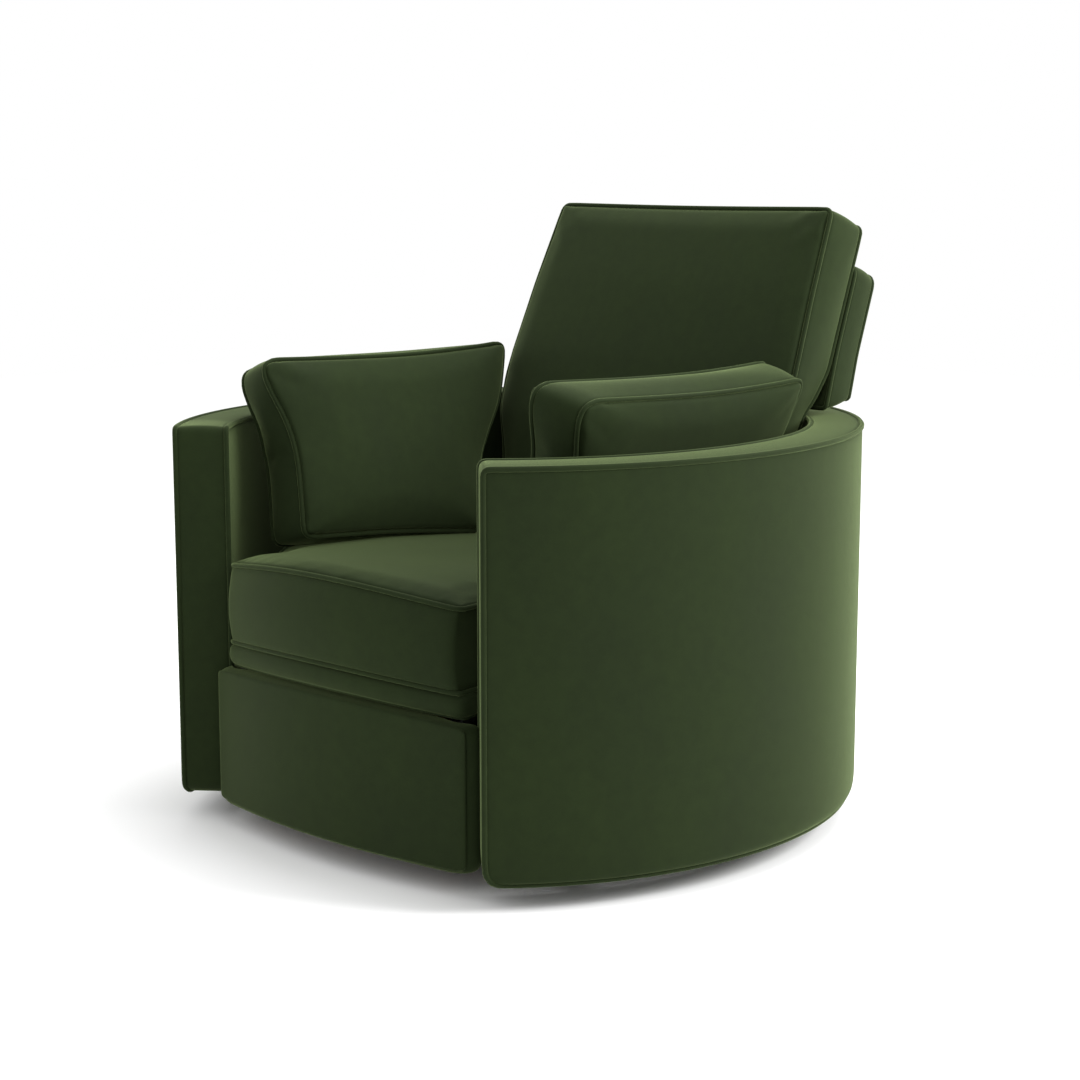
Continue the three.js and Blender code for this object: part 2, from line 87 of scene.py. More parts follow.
BACK_TILT = math.radians(21)
BACK_ORIGIN = Vector((0, 0.161, 0.460))          # a point on the back cushion's front face
BACK_WIDE = 0.299
BACK_TOP, BACK_FOOT = 0.551, -0.105              # rises of its two ends along the tilt
BACK_FOOT_HALF = 0.256
SQUEEZE_FROM, SQUEEZE_RUN = 0.19, 0.09           # from the middle: where its rear is pressed in
CUSHION_THICK = 0.082
PANEL_FRONT, PANEL_REAR = 0.095, 0.141           # depths behind the cushion's front face
PANEL_TOP, PANEL_FOOT = 0.486, 0.235
PANEL_GAP = 0.0016                               # between the cushion and the panel's wings
PANEL_HEM = 0.010                                # width of its edge that keeps the full depth
PANEL_RAKE, PANEL_RAKE_RUN = 0.6, 0.18           # its foot is cut level with the rim

FOOT_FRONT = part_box("footrest_pad")[0][1]
FOOT_LOW, FOOT_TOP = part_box("footrest_pad")[0][2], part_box("footrest_pad")[1][2]
FOOT_END = Vector((0.286, -0.472))
FOOT_BOARD = -0.4615                             # the front face of the footrest's board
FOOT_WRAP = 0.020                                # how far the cover's ends reach back round it
FOOT_WRAP_FROM, FOOT_WRAP_RUN = 0.262, 0.012     # where they start to, and over what width

PILLOW_LEAN = math.radians(16)
PILLOW_FOOT = Vector((0.212, 0.465))
PILLOW_THICK = 0.082
PILLOW_TOP = 0.284
PILLOW_CLEARANCE = 0.0008                        # above the seat it rests on
RIGHT_PILLOW_SHIFT = 0.024                       # the right pillow stands further back

WELT = 0.0038                                    # radius of the piping cord
SHELL_WELT = 0.0044
WELT_PROUD = 0.62                                # share of its groove that a cord is lifted by
SHELL_WELT_PROUD = 0.66
GROOVE = 0.0045                                  # how deep a seam sinks beside its piping
NEAR_SEAM = 0.0045                               # width of the first row of faces beside a seam

CLOTH_FRAMES = 20
PRESSURE, BACK_PRESSURE = 4.0, 2.5               # of the air that blows the covers up

scene = bpy.context.scene


# ---------------------------------------------------------------- materials
def node_tree(name):
    material = bpy.data.materials.new(name)
    material.use_nodes = True
    nodes, links = material.node_tree.nodes, material.node_tree.links
    return material, nodes, links, nodes["Principled BSDF"]


def position(nodes, links, scale):
    """Scaled position: every piece sits at the origin, so the pattern runs on between them."""
    coordinates = nodes.new("ShaderNodeTexCoord")
    mapping = nodes.new("ShaderNodeMapping")
    mapping.inputs["Scale"].default_value = scale
    links.new(coordinates.outputs["Object"], mapping.inputs["Vector"])
    return mapping.outputs["Vector"]


def noise(nodes, links, vector, scale, detail=3.0, roughness=0.55):
    texture = nodes.new("ShaderNodeTexNoise")
    texture.inputs["Scale"].default_value = scale
    texture.inputs["Detail"].default_value = detail
    texture.inputs["Roughness"].default_value = roughness
    links.new(vector, texture.inputs["Vector"])
    return texture.outputs["Fac"]


def ramp(nodes, links, factor, stops):
    colours = nodes.new("ShaderNodeValToRGB")
    elements = colours.color_ramp.elements
    while len(elements) < len(stops):
        elements.new(0.5)
    for element, (place, colour) in zip(elements, stops):
        element.position = place
        element.color = (*colour, 1)
    links.new(factor, colours.inputs["Fac"])
    return colours.outputs["Color"]


def mix_colour(nodes, links, kind, factor, first, second):
    mix = nodes.new("ShaderNodeMix")
    mix.data_type = "RGBA"
    mix.blend_type = kind
    mix.inputs["Factor"].default_value = factor
    links.new(first, mix.inputs["A"])
    links.new(second, mix.inputs["B"])
    return mix.outputs["Result"]


def bump(nodes, links, height, distance, strength, below=None):
    node = nodes.new("ShaderNodeBump")
    node.inputs["Distance"].default_value = distance
    node.inputs["Strength"].default_value = strength
    links.new(height, node.inputs["Height"])
    if below is not None:
        links.new(below, node.inputs["Normal"])
    return node.outputs["Normal"]


def make_velvet():
    """Short-pile velvet: stroked patches of nap, a fine pile grain and a soft sheen."""
    material, nodes, links, shader = node_tree("green_velvet")
    plain = position(nodes, links, (1, 1, 1))
    stroked = position(nodes, links, (1, 1, 0.45))
    patches = noise(nodes, links, stroked, 7.0, 4.0)
    mottle = noise(nodes, links, plain, 55.0, 3.0)
    pile = noise(nodes, links, plain, 1400.0, 2.0)
    base = ramp(nodes, links, patches, [
        (0.30, (0.0108, 0.0180, 0.0050)),
        (0.55, (0.0126, 0.0208, 0.0058)),
        (0.78, (0.0146, 0.0238, 0.0068)),
    ])
    grain = ramp(nodes, links, mottle, [(0.25, (0.90, 0.90, 0.90)), (0.75, (1.08, 1.08, 1.08))])
    fibres = ramp(nodes, links, pile, [(0.30, (0.80, 0.82, 0.80)), (0.70, (1.16, 1.14, 1.16))])
    worn = mix_colour(nodes, links, "MULTIPLY", 1.0, base, grain)
    colour = mix_colour(nodes, links, "MULTIPLY", 1.0, worn, fibres)
    links.new(colour, shader.inputs["Base Color"])
    rough = ramp(nodes, links, patches, [(0.3, (0.86, 0.86, 0.86)), (0.8, (0.96, 0.96, 0.96))])
    links.new(rough, shader.inputs["Roughness"])
    shader.inputs["Specular IOR Level"].default_value = 0.12
    shader.inputs["Sheen Weight"].default_value = 0.36
    shader.inputs["Sheen Roughness"].default_value = 0.36
    shader.inputs["Sheen Tint"].default_value = (0.52, 0.68, 0.28, 1)
    fine = bump(nodes, links, pile, 0.0004, 0.5)
    soft = bump(nodes, links, patches, 0.002, 0.25, fine)
    links.new(soft, shader.inputs["Normal"])
    return material


def make_metal(name, colour, rough, metallic, scratch):
    """Powder coat or zinc plate: a fine orange peel, rubbed lighter in streaks."""
    material, nodes, links, shader = node_tree(name)
    plain = position(nodes, links, (1, 1, 1))
    streaked = position(nodes, links, (1, 0.15, 1))
    peel = noise(nodes, links, plain, 420.0, 2.0)
    streaks = noise(nodes, links, streaked, 90.0, 4.0)
    worn = tuple(min(1.0, c * scratch) for c in colour)
    shade = ramp(nodes, links, streaks, [(0.35, colour), (0.8, worn)])
    links.new(shade, shader.inputs["Base Color"])
    gloss = ramp(nodes, links, streaks, [(0.3, (rough,) * 3), (0.8, (rough + 0.15,) * 3)])
    links.new(gloss, shader.inputs["Roughness"])
    shader.inputs["Metallic"].default_value = metallic
    links.new(bump(nodes, links, peel, 0.0003, 0.35), shader.inputs["Normal"])
    return material


def make_timber():
    """Raw plywood: long grain along X with thin darker late wood."""
    material, nodes, links, shader = node_tree("frame_timber")
    stretched = position(nodes, links, (0.6, 8, 8))
    grain = noise(nodes, links, stretched, 12.0, 6.0, 0.65)
    pores = noise(nodes, links, stretched, 160.0, 2.0)
    shade = ramp(nodes, links, grain, [
        (0.30, (0.33, 0.20, 0.10)), (0.52, (0.55, 0.38, 0.21)), (0.75, (0.64, 0.47, 0.28)),
    ])
    dots = ramp(nodes, links, pores, [(0.35, (0.75, 0.72, 0.68)), (0.55, (1, 1, 1))])
    links.new(mix_colour(nodes, links, "MULTIPLY", 1.0, shade, dots), shader.inputs["Base Color"])
    shader.inputs["Roughness"].default_value = 0.68
    links.new(bump(nodes, links, grain, 0.0006, 0.4), shader.inputs["Normal"])
    return material


def make_rubber():
    material, nodes, links, shader = node_tree("pad_rubber")
    grain = noise(nodes, links, position(nodes, links, (1, 1, 1)), 700.0, 3.0)
    shade = ramp(nodes, links, grain, [(0.3, (0.012, 0.012, 0.012)), (0.7, (0.03, 0.03, 0.03))])
    links.new(shade, shader.inputs["Base Color"])
    shader.inputs["Roughness"].default_value = 0.8
    links.new(bump(nodes, links, grain, 0.0004, 0.4), shader.inputs["Normal"])
    return material


velvet = make_velvet()


# ---------------------------------------------------------------- mesh helpers
def unit(value):
    """The value held between 0 and 1."""
    return min(1.0, max(0.0, value))


def new_piece(name, vertices, faces, body):
    mesh = bpy.data.meshes.new(name)
    mesh.from_pydata([tuple(v) for v in vertices], [], faces)
    mesh.validate()
    mesh.shade_smooth()
    piece = bpy.data.objects.new(name, mesh)
    scene.collection.objects.link(piece)
    piece.data.materials.append(velvet)
    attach(piece, body)
    return piece


def apply_modifiers(piece):
    """Replaces the piece's mesh by its evaluated one, with no modifier left."""
    graph = bpy.context.evaluated_depsgraph_get()
    done = bpy.data.meshes.new_from_object(piece.evaluated_get(graph))
    piece.modifiers.clear()
    piece.data = done


def subdivide(piece):
    modifier = piece.modifiers.new("smooth", "SUBSURF")
    modifier.levels = 1
    modifier.render_levels = 1
    apply_modifiers(piece)


def tube(name, path, radius, body, sides=8):
    """A closed cord of constant radius along a path, its frame carried along without twisting."""
    path = [Vector(p) for p in path]
    count = len(path)
    vertices, faces = [], []
    normal = None
    for i, here in enumerate(path):
        forward = (path[(i + 1) % count] - path[i - 1]).normalized()
        if normal is None:
            normal = Vector((0, 0, 1)) if abs(forward.z) < 0.8 else Vector((1, 0, 0))
        normal = (normal - forward * normal.dot(forward)).normalized()
        binormal = forward.cross(normal)
        for k in range(sides):
            turn = 2 * math.pi * k / sides
            vertices.append(here + (normal * math.cos(turn) + binormal * math.sin(turn)) * radius)
    for i in range(count):
        ahead = (i + 1) % count
        for k in range(sides):
            n = (k + 1) % sides
            faces.append((i * sides + k, i * sides + n, ahead * sides + n, ahead * sides + k))
    return new_piece(name, vertices, faces, body)


def pipe_seams(form, names, body, radius=WELT, proud=WELT_PROUD):
    """Piping round both panels of a form."""
    for face, name in zip("ab", names):
        tube(name, form.seam(face, proud), radius, body)


def cell_rows(length, cell, near):
    """Parameters from 0 to 1 in even cells, with two closer rows beside the seam at each end."""
    count = max(2, round(length / cell))
    close = [near / length, 2.2 * near / length]
    middle = [i / count for i in range(1, count)]
    middle = [v for v in middle if 1.5 * close[1] < v < 1 - 1.5 * close[1]]
    return [0.0, *close, *middle, 1 - close[1], 1 - close[0], 1.0]


class Polyline:
    """A path that can be asked for a point at any share of its length."""

    def __init__(self, points):
        self.points = [Vector(p) for p in points]
        self.lengths = [0.0]
        for a, b in zip(self.points, self.points[1:]):
            self.lengths.append(self.lengths[-1] + (b - a).length)
        self.length = self.lengths[-1]

    def at(self, share):
        target = unit(share) * self.length
        for i in range(1, len(self.lengths)):
            if target <= self.lengths[i] or i == len(self.lengths) - 1:
                span = self.lengths[i] - self.lengths[i - 1]
                mix = (target - self.lengths[i - 1]) / span if span else 0.0
                return self.points[i - 1].lerp(self.points[i], mix)


def rounded_sides(paths, radii, steps=60):
    """Four sides, in order round an outline, with each corner rounded; corner i starts side i."""
    lines = [Polyline(p) for p in paths]
    trimmed = []
    for i, line in enumerate(lines):
        start, end = radii[i] / line.length, 1 - radii[(i + 1) % 4] / line.length
        trimmed.append([line.at(start + (end - start) * k / steps) for k in range(steps + 1)])
    sides = []
    for i in range(4):
        corner, next_corner = lines[i].points[0], lines[i].points[-1]
        before, after = trimmed[i - 1][-1], trimmed[(i + 1) % 4][0]
        head = bezier_half(before, corner, trimmed[i][0], 0.5, 1.0)
        tail = bezier_half(trimmed[i][-1], next_corner, after, 0.0, 0.5)
        sides.append(Polyline([*head, *trimmed[i][1:-1], *tail]))
    return sides


def bezier_half(a, b, c, start, end, steps=6):
    """The part from start to end of the curve that leaves a for b and arrives at c."""
    points = []
    for k in range(steps + 1):
        t = start + (end - start) * k / steps
        points.append(a * (1 - t) ** 2 + b * (2 * t * (1 - t)) + c * t ** 2)
    return points


def straight(a, b, bow=0.0, count=24):
    """A side from a to b that bows inwards (to its left) by `bow` in the middle."""
    a, b = Vector(a), Vector(b)
    along = b - a
    inward = Vector((-along.y, along.x)).normalized()
    points = []
    for k in range(count + 1):
        t = k / count
        points.append(a + along * t + inward * bow * math.sin(math.pi * t) ** 1.3)
    return points


def rectangle(left, low, right, top, radii):
    """Four straight sides with rounded corners."""
    corners = [(left, low), (right, low), (right, top), (left, top)]
    return rounded_sides([straight(corners[i], corners[(i + 1) % 4]) for i in range(4)], radii)


class Boxed:
    """A boxed upholstered form: two panels with the same outline and a strip between them.

    place(point, depth) puts an outline point into space; depth 0 is panel A. outset(share, normal,
    point) says how far the strip stands out of the outline at a share of the depth. cell is the
    size of the panels' faces. panel_a and panel_b give each panel's own extra depth, outwards, at
    (u, v) and at its distances from the nearest sides. The two seams are sunk by `sink`, with a
    row of faces as narrow as `near` beside them.
    """

    def __init__(self, name, body, sides, depth, place, outset, cell, strip_rows,
                 panel_a=None, panel_b=None, sink=GROOVE, near=NEAR_SEAM):
        bottom, right, top, left = sides
        wide, tall = (bottom.length + top.length) / 2, (left.length + right.length) / 2
        us = cell_rows(max(bottom.length, top.length), cell, near)
        vs = cell_rows(max(left.length, right.length), cell, near)
        close = near / depth
        even = [k / strip_rows for k in range(1, strip_rows)]
        inside = [w for w in even if 1.5 * close < w < 1 - 1.5 * close]
        grid = {}
        for j, v in enumerate(vs):
            for i, u in enumerate(us):
                grid[i, j] = self.coons(bottom, right, top, left, u, v)
        last_i, last_j = len(us) - 1, len(vs) - 1
        ring = [(i, 0) for i in range(last_i)] + [(last_i, j) for j in range(last_j)]
        ring += [(i, last_j) for i in range(last_i, 0, -1)] + [(0, j) for j in range(last_j, 0, -1)]
        outline = [grid[key] for key in ring]
        normals = []
        for k in range(len(outline)):
            along = outline[(k + 1) % len(outline)] - outline[k - 1]
            normals.append(Vector((along.y, -along.x)).normalized())
        on_ring = {key: k for k, key in enumerate(ring)}
        vertices, faces, index = [], [], {}
        for face, extra in (("a", panel_a), ("b", panel_b)):
            for (i, j), point in grid.items():
                base = 0.0 if face == "a" else depth
                outwards = -1.0 if face == "a" else 1.0
                k = on_ring.get((i, j))
                if k is None:
                    u, v = us[i], vs[j]
                    margins = min(u, 1 - u) * wide, min(v, 1 - v) * tall
                    rise = extra(u, v, margins) if extra else 0.0
                else:
                    point = point - normals[k] * sink
                    rise = -sink
                index[face, i, j] = len(vertices)
                vertices.append(place(point, base + outwards * rise))
            for j in range(last_j):
                for i in range(last_i):
                    quad = [index[face, i, j], index[face, i + 1, j],
                            index[face, i + 1, j + 1], index[face, i, j + 1]]
                    faces.append(quad if face == "a" else quad[::-1])
        rows = [[index["a", *key] for key in ring]]
        for w in (close, *inside, 1 - close):
            row = []
            for point, normal in zip(outline, normals):
                row.append(len(vertices))
                vertices.append(place(point + normal * outset(w, normal, point), w * depth))
            rows.append(row)
        rows.append([index["b", *key] for key in ring])
        count = len(ring)
        for upper, lower in zip(rows, rows[1:]):
            for k in range(count):
                n = (k + 1) % count
                faces.append([upper[n], upper[k], lower[k], lower[n]])
        self.place, self.depth = place, depth
        self.outline, self.normals = outline, normals
        self.rings = {"a": rows[0], "b": rows[-1]}
        self.piece = new_piece(name, vertices, faces, body)
        recalculate_normals(self.piece)
        self.lift = {}
        for face, base, outwards in (("a", 0.0, -1.0), ("b", depth, 1.0)):
            self.lift[face] = [
                place(p, base) - place(p - n * sink, base - outwards * sink)
                for p, n in zip(outline, normals)
            ]

    @staticmethod
    def coons(bottom, right, top, left, u, v):
        """The point of a patch spanned between four sides given in order round it."""
        low, high = bottom.at(u), top.at(1 - u)
        near, far = left.at(1 - v), right.at(v)
        corners = (bottom.at(0) * (1 - u) * (1 - v) + bottom.at(1) * u * (1 - v)
                   + top.at(0) * u * v + top.at(1) * (1 - u) * v)
        return low * (1 - v) + high * v + near * (1 - u) + far * u - corners

    def normal_in_space(self, k):
        """The outline's outward direction at ring point k, in space."""
        point, normal = self.outline[k], self.normals[k]
        here = self.place(point, self.depth)
        return (self.place(point + normal * 0.01, self.depth) - here).normalized()

    def seam(self, face, proud):
        """The path of the piping round one panel, standing a little out of the groove."""
        vertices = self.piece.data.vertices
        return [vertices[vertex].co + lift * proud
                for vertex, lift in zip(self.rings[face], self.lift[face])]


def recalculate_normals(piece):
    work = bmesh.new()
    work.from_mesh(piece.data)
    bmesh.ops.recalc_face_normals(work, faces=work.faces)
    work.to_mesh(piece.data)
    work.free()


def inflate(form, pressure, cap, limit):
    """Blows a boxed form up as cloth held at its seams; no point moves further than `cap`."""
    piece = form.piece
    rest = [v.co.copy() for v in piece.data.vertices]
    pins = piece.vertex_groups.new(name="seams")
    pins.add(form.rings["a"] + form.rings["b"], 1.0, "REPLACE")
    cloth = piece.modifiers.new("cloth", "CLOTH")
    settings = cloth.settings
    settings.quality = 5
    settings.mass = 0.3
    settings.tension_stiffness = 18
    settings.compression_stiffness = 18
    settings.shear_stiffness = 6
    settings.bending_stiffness = 1.5
    settings.use_pressure = True
    settings.uniform_pressure_force = pressure
    settings.effector_weights.gravity = 0
    settings.vertex_group_mass = "seams"
    cloth.collision_settings.use_collision = False
    cloth.point_cache.frame_start = 1
    cloth.point_cache.frame_end = CLOTH_FRAMES
    for step in range(1, CLOTH_FRAMES + 1):
        scene.frame_set(step)
    graph = bpy.context.evaluated_depsgraph_get()
    moved = [v.co.copy() for v in piece.evaluated_get(graph).data.vertices]
    piece.modifiers.clear()
    piece.vertex_groups.clear()
    for vertex, start, end in zip(piece.data.vertices, rest, moved):
        shift = end - start
        if shift.length > cap:
            shift *= cap / shift.length
        vertex.co = limit(start + shift)
    scene.frame_set(1)


def finish_form(form):
    subdivide(form.piece)
    form.piece.data.shade_smooth()


def crown(height, power=2.0, edge=0.0, radius=0.012):
    """A panel with rounded edges that then rises smoothly to its full height in the middle."""
    def turn(margin):
        return math.sqrt(1 - (1 - min(margin, radius) / radius) ** 2)

    def rise(u, v, margins):
        across = (1 - abs(2 * u - 1) ** power) * (1 - abs(2 * v - 1) ** power)
        return height * across + edge * turn(margins[0]) * turn(margins[1])
    return rise


def table(*knots):
    """A function of one value that runs straight from knot to knot."""
    def read(value):
        for (x0, y0), (x1, y1) in zip(knots, knots[1:]):
            if value <= x1:
                share = unit((value - x0) / (x1 - x0))
                return y0 + (y1 - y0) * share
        return knots[-1][1]
    return read


def smooth_curve(points, steps=8):
    """A path that passes smoothly through the given points."""
    points = [Vector(p) for p in points]
    ends = [2 * points[0] - points[1], *points, 2 * points[-1] - points[-2]]
    path = [points[0]]
    for a, b, c, d in zip(ends, ends[1:], ends[2:], ends[3:]):
        for k in range(1, steps + 1):
            t = k / steps
            path.append(0.5 * (2 * b + (c - a) * t + (2 * a - 5 * b + 4 * c - d) * t ** 2
                               + (3 * b - a - 3 * c + d) * t ** 3))
    return path


def side_bulge(height):
    """A boxing strip that stands out most half-way between its seams."""
    def out(share, _normal, _point):
        return height * math.sin(math.pi * share)
    return out


# ---------------------------------------------------------------- barrel shell
def shell_point(share, z, inset):
    """A point in the wall: share 0 is the right arm's front, 1 the left arm's."""
    front = -(ARM_FRONT + ARM_SKEW * inset / WALL)
    angle = front + (math.pi - 2 * front) * share
    return Vector((
        (SHELL_A - inset) * math.cos(angle),
        SHELL_CY + (SHELL_B - inset) * math.sin(angle),
        z,
    ))


def make_barrel():
    samples = [shell_point(k / 200, 0, WALL / 2) for k in range(201)]
    run = sum((b - a).length for a, b in zip(samples, samples[1:]))
    welt_z = RIM_TOP - RIM_CROWN

    def place(point, depth):
        foot = unit(1 - (point.y - SHELL_LOW) / FOOT_ROUND)
        tuck = FOOT_TUCK * (1 - math.sqrt(1 - foot ** 2)) * (1 - depth / WALL)
        return shell_point(point.x / run, point.y, depth + tuck)

    sides = rectangle(0, SHELL_LOW, run, welt_z, (0.034, 0.034, 0.012, 0.012))

    def outset(share, normal, _point):
        hump = 1 - abs(2 * share - 1) ** 2.4
        return hump * (RIM_CROWN * max(normal.y, 0) ** 2 + ARM_CROWN * abs(normal.x) ** 2)

    def inner(u, v, _margins):
        return INNER_SWELL * (1 - abs(2 * u - 1) ** 40) * math.sin(math.pi * unit(v)) ** 0.6

    form = Boxed("barrel_cover", "glide_frame", sides, WALL, place, outset, cell=0.016,
                 strip_rows=9, panel_b=inner, sink=0.0042)
    pipe_seams(form, ("barrel_welt_outer", "barrel_welt_inner"), "glide_frame", SHELL_WELT,
               SHELL_WELT_PROUD)
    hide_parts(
        *[f"{part}_{where}" for part in ("barrel_wall", "inner_pad", "rim")
                      for where in ("left", "rear", "right")], "arm_front_left", "arm_front_right")
    finish_form(form)


# ---------------------------------------------------------------- seat
def seat_half_width(y):
    """As wide as the padded wall allows, with the seat at rest and slid forward."""
    def width(shift):
        across = (y - SHELL_CY - shift) / (SHELL_B - WALL)
        return (SHELL_A - WALL) * math.sqrt(1 - across ** 2)
    return min(width(0), width(SEAT_TRAVEL)) - SEAT_GAP


def seat_sides(rear_y):
    corner = SEAT_CORNER

    def front_y(x):
        return SEAT_FRONT + (corner.y - SEAT_FRONT) * (x / corner.x) ** 2

    front = [(x, front_y(x)) for x in (corner.x * (k / 20 - 1) for k in range(41))]
    steps = [corner.y + SEAT_TAPER + k * (rear_y - corner.y - SEAT_TAPER) / 16 for k in range(17)]
    right = [(corner.x, corner.y)] + [(seat_half_width(y), y) for y in steps]
    rear = straight((right[-1][0], rear_y), (-right[-1][0], rear_y))
    left = [(-x, y) for x, y in reversed(right)]
    return rounded_sides([front, right, rear, left], (0.022, 0.022, 0.03, 0.03))


def front_droop(x, y):
    """1 at the two front corners, falling to 0 in the middle of the front and towards the rear."""
    return min(1.2, (x / SEAT_CORNER.x) ** 2) * max(0.0, 1 - (y - SEAT_CORNER.y) / DROOP_RUN)


def seat_top_seam(x, y):
    return SEAT_TOP - SEAT_RAKE * (y - SEAT_FRONT) - TOP_DROOP * front_droop(x, y)


def seat_low_seam(x, y):
    return SEAT_WELT - LOW_DROOP * front_droop(x, y)


def ahead_of_back(z):
    return BACK_ORIGIN.y - BACK_GAP + (z - BACK_ORIGIN.z) * math.tan(BACK_TILT)


def lean_back(y, rear_y, drop):
    """The rear of the seat slopes parallel to the reclined back."""
    lean = unit((y - SEAT_LEAN_START) / (rear_y - SEAT_LEAN_START))
    return y - drop * math.tan(BACK_TILT) * lean


def make_seat():
    depth = SEAT_TOP - SEAT_WELT
    rear_y = ahead_of_back(SEAT_TOP - SEAT_RAKE * (SEAT_REAR - SEAT_FRONT))

    def place(point, down):
        x, y = point
        share = down / depth
        top, low = seat_top_seam(x, y), seat_low_seam(x, y) + CLEARANCE
        z = top + (low - top) * share
        pulled = 1 - CORNER_PULL * (1 - share) * front_droop(x, y)
        return Vector((x * pulled, lean_back(y, rear_y, top - z), z))

    def keep_clear(point):
        point.z = max(point.z, seat_low_seam(point.x, point.y) + CLEARANCE)
        widest = seat_half_width(max(point.y, SEAT_CORNER.y + SEAT_TAPER)) + 0.001
        point.x = max(-widest, min(widest, point.x))
        return point

    def bulge(share, normal, _point):
        return SEAT_BULGE * math.sin(math.pi * share) * max(0.0, -normal.y)

    form = Boxed("seat_cushion_cover", "seat_carriage", seat_sides(rear_y), depth, place, bulge,
                 cell=0.014, strip_rows=9,
                 panel_a=crown(0.004, power=2.2, edge=0.005, radius=0.014))
    inflate(form, PRESSURE, 0.008, keep_clear)
    pipe_seams(form, ("seat_piping_top", "seat_piping_low"), "seat_carriage")
    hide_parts("seat_cushion")
    finish_form(form)
    make_seat_band()
    return form.piece


def make_seat_band():
    """The cover of the deck below the cushion, which tucks under at its lower edge."""
    band = SEAT_WELT - SEAT_LOW
    rear_y = ahead_of_back(SEAT_WELT)

    def place(point, down):
        x, y = point
        top = seat_low_seam(x, y)
        low = SEAT_LOW - BAND_TUCK - BAND_DROOP * front_droop(x, y)
        z = top + (low - top) * down / band
        return Vector((x, lean_back(y, rear_y, top - z), z))

    def tuck_under(share, normal, _point):
        bulge = BAND_BULGE * math.sin(math.pi * min(1, share * 1.1)) * max(0.0, -normal.y)
        return bulge - BAND_TUCK * share ** 4

    deck = Boxed("seat_deck_cover", "seat_carriage", seat_sides(rear_y), band, place, tuck_under,
                 cell=0.02, strip_rows=8, sink=0.003)
    for k, vertex in enumerate(deck.rings["b"]):
        deck.piece.data.vertices[vertex].co -= deck.normal_in_space(k) * BAND_TUCK
    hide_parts("seat_deck_pad")
    finish_form(deck)


# ---------------------------------------------------------------- back
def back_place(x, depth, rise):
    """A point of the reclined back: depth behind the cushion's face, rise up along it."""
    return Vector((
        x,
        BACK_ORIGIN.y + depth * math.cos(BACK_TILT) + rise * math.sin(BACK_TILT),
        BACK_ORIGIN.z - depth * math.sin(BACK_TILT) + rise * math.cos(BACK_TILT),
    ))


def make_back():
    top, foot, foot_half = BACK_TOP, BACK_FOOT, BACK_FOOT_HALF
    half = table((foot, foot_half), (0.0, 0.264), (0.10, 0.290), (0.16, 0.312), (0.22, 0.319),
                 (0.27, 0.317), (0.40, 0.309), (top, BACK_WIDE))
    rear_half = table((foot, foot_half), (0.10, 0.272), (0.16, 0.284), (0.215, 0.296),
                      (0.25, 0.300), (0.30, 0.304), (top, 0.302))
    lumbar = table((0.0, 0.0), (0.06, 0.008), (0.15, 0.019), (0.27, 0.020), (0.40, 0.016),
                   (top, 0.006))
    squeeze = table((0.02, 0.0), (0.16, 0.020), (0.215, 0.026), (0.25, 0.012), (0.30, 0.0))
    steps = [foot + (top - foot) * k / 40 for k in range(41)]
    right = [(half(s), s) for s in steps]
    left = [(-x, s) for x, s in reversed(right)]
    sides = rounded_sides(
        [straight((-foot_half, foot), (foot_half, foot)), right,
         straight((BACK_WIDE, top), (-BACK_WIDE, top), 0.002), left], (0.02, 0.02, 0.018, 0.018))

    def place(point, depth):
        share, rise = depth / CUSHION_THICK, point.y
        wide = 1 + (rear_half(rise) / half(rise) - 1) * share
        edge = unit((abs(point.x) - SQUEEZE_FROM) / SQUEEZE_RUN)
        pressed = lumbar(rise) * (1 - share)
        pinched = squeeze(rise) * edge * share
        return back_place(point.x * wide, depth - pressed - pinched, rise)

    form = Boxed("back_cushion_cover", "back", sides, CUSHION_THICK, place, side_bulge(0.003),
                 cell=0.014, strip_rows=8,
                 panel_a=crown(0.010, power=2.6, edge=0.006, radius=0.010))
    inflate(form, BACK_PRESSURE, 0.009, in_front_of_board)
    pipe_seams(form, ("back_piping_front", "back_piping_rear"), "back")
    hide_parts("back_cushion")
    finish_form(form)
    make_back_panel()
    make_back_lower_cover()


def in_front_of_board(point):
    """Keeps the cushion's rear face flat against the back board."""
    normal = Vector((0, math.cos(BACK_TILT), -math.sin(BACK_TILT)))
    over = (point - BACK_ORIGIN).dot(normal) - CUSHION_THICK
    return point - normal * over if over > 0 else point


def make_back_panel():
    """The outside back, wrapped round the board at its sides."""
    top, foot, front = PANEL_TOP, PANEL_FOOT, CUSHION_THICK + PANEL_GAP
    half = table((foot, 0.315), (0.33, 0.309), (top, 0.307))
    right = [(half(s), s) for s in (foot + (top - foot) * k / 20 for k in range(21))]
    sides = rounded_sides(
        [straight((-half(foot), foot), (half(foot), foot)), right,
         straight((half(top), top), (-half(top), top)), [(-x, s) for x, s in reversed(right)]],
        (0.010, 0.010, 0.024, 0.024))

    def place(point, depth):
        fade = max(0.0, 1 - (point.y - foot) / PANEL_RAKE_RUN)
        return back_place(point.x, front + depth, point.y + PANEL_RAKE * depth * fade)

    def hollow_for_board(_u, _v, margins):
        return -(PANEL_FRONT - front) * unit((min(margins) - PANEL_HEM) / 0.012)

    form = Boxed("back_panel_cover", "back", sides, PANEL_REAR - front, place, side_bulge(0.003),
                 cell=0.018, strip_rows=7, panel_a=hollow_for_board,
                 panel_b=crown(0.004, power=3.0))
    pipe_seams(form, ("back_panel_welt_front", "back_panel_welt_rear"), "back")
    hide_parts("back_panel")
    finish_form(form)


